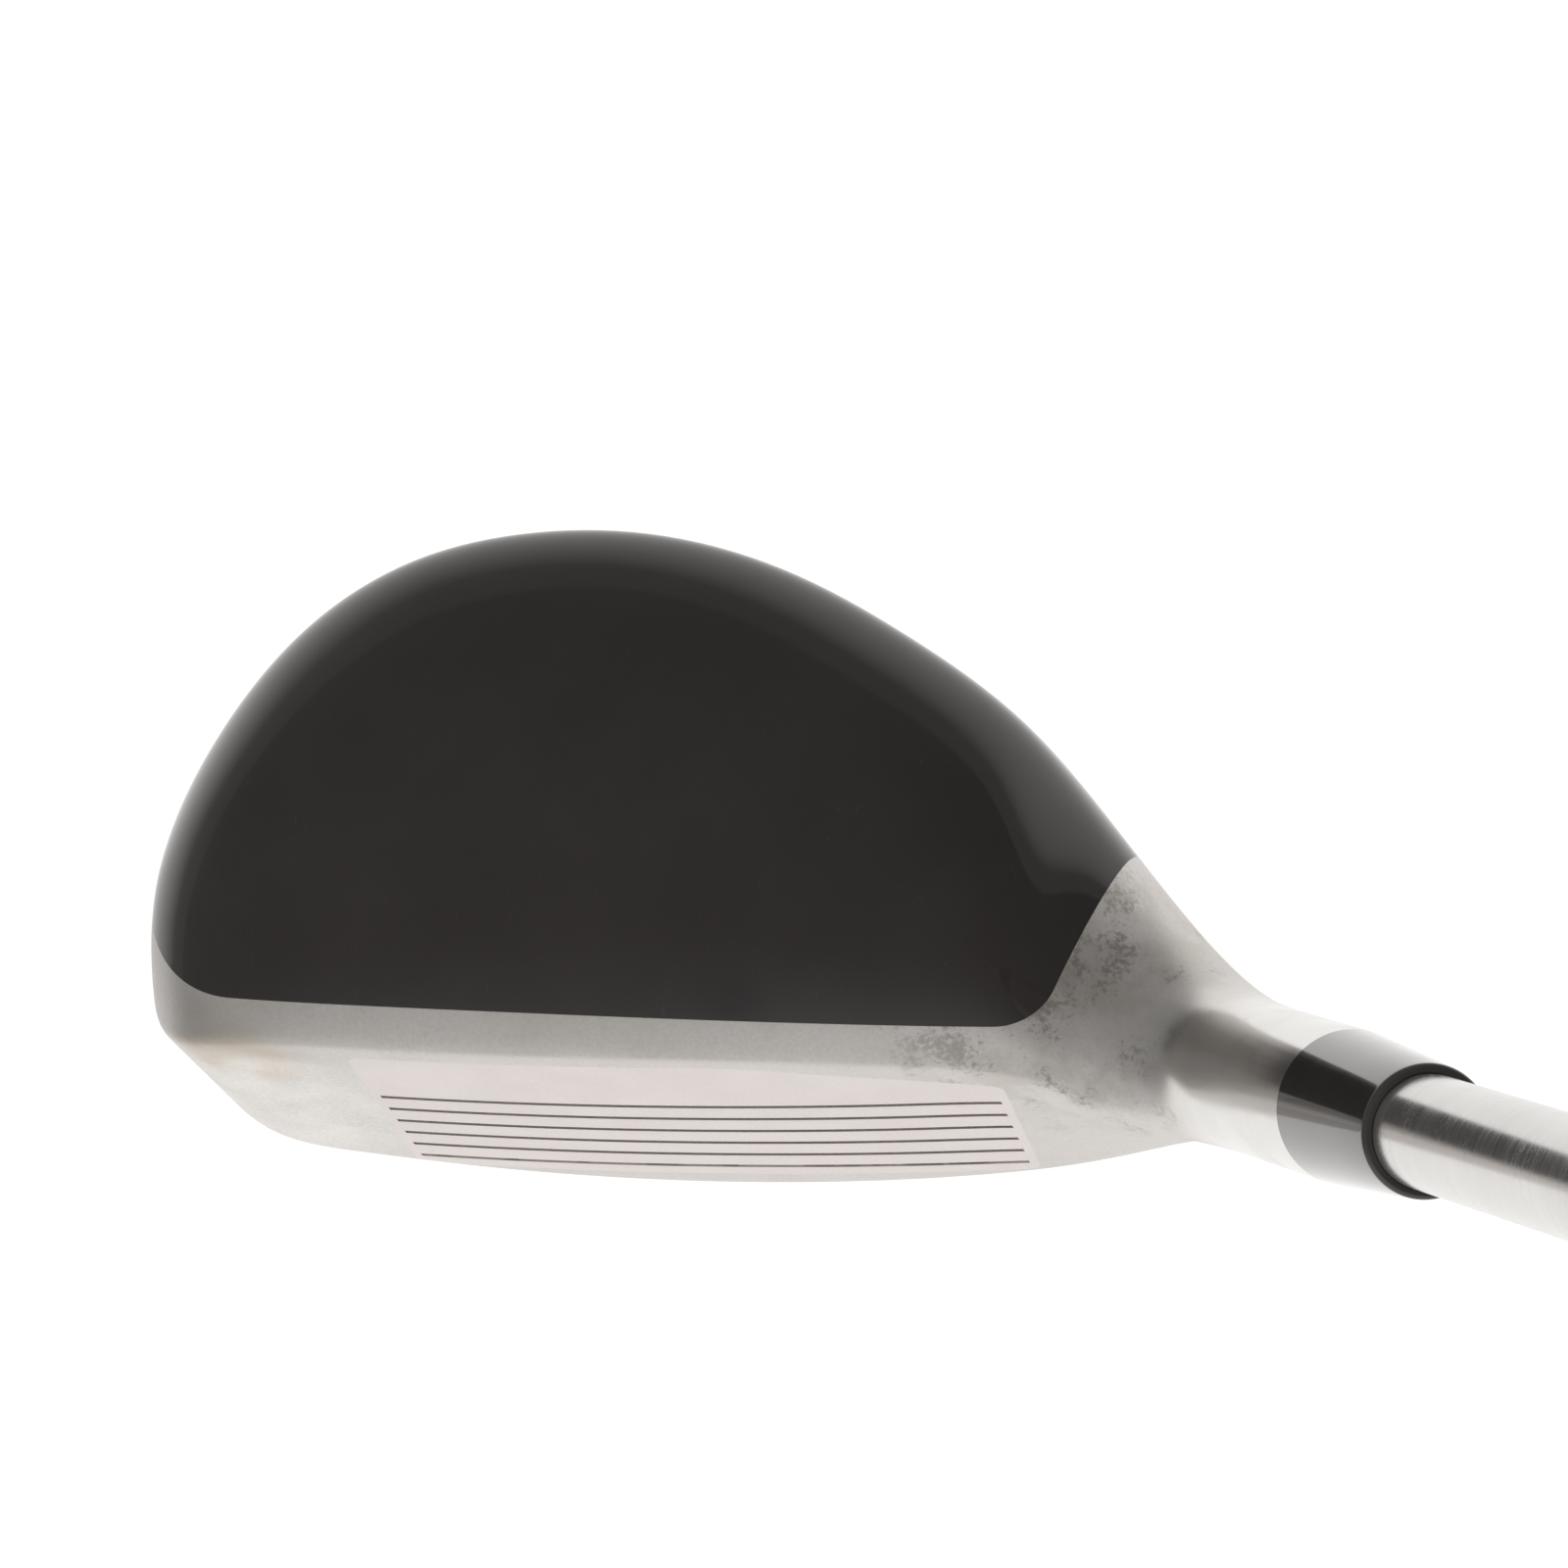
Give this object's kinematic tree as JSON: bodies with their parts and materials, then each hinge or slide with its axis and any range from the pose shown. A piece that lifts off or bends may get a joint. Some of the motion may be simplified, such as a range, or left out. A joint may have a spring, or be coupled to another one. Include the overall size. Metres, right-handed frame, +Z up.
{
  "type": "hybrid golf club",
  "caption": "Right-handed hybrid golf club: hollow steel head with a gloss black crown, scored lofted face, black ferrule, stepped chrome steel shaft and black rubber grip",
  "frame": {"origin": "on the ground under the middle of the face, where the sole rests with the club at its lie", "axes": "+X to the heel and grip, -X to the toe, -Y to the target, +Y behind the face, +Z up; the shaft's axis lies in the XZ plane, 60 degrees from the ground"},
  "size_m": [0.5965, 0.0601, 0.8744],
  "materials": {
    "cast_steel": "cast stainless steel, fine blasted on the strip and neck, satin on the sole",
    "crown_paint": "gloss black paint under clear coat",
    "bond_line": "cured structural adhesive",
    "face_steel": "bead-blasted stainless steel, worn by play",
    "scoreline_paint": "dark grey-brown paint fill, worn",
    "weight_steel": "turned steel slug",
    "hot_melt": "amber hot-melt filler",
    "shaft_epoxy": "cured epoxy",
    "pin_brass": "turned brass",
    "shaft_chrome": "chrome-plated stepped steel",
    "ferrule_plastic": "polished black plastic",
    "band_film": "printed film under varnish, plain dark stripes",
    "tape": "double-sided adhesive tape",
    "grip_rubber": "moulded black rubber, fine textured pattern",
    "cap_rubber": "moulded black rubber end cap"
  },
  "bodies": {
    "root": {"head_body": "cast_steel", "crown_plate": "crown_paint", "crown_bond": "bond_line", "face_plate": "face_steel", "scoreline_paint": "scoreline_paint", "rear_weight": "weight_steel", "hot_melt_pad": "hot_melt", "hosel_epoxy": "shaft_epoxy", "tip_pin": "pin_brass", "shaft": "shaft_chrome", "ferrule": "ferrule_plastic", "shaft_band": "band_film", "grip_tape": "tape", "grip_sleeve": "grip_rubber", "grip_cap": "cap_rubber"}
  },
  "joints": []
}
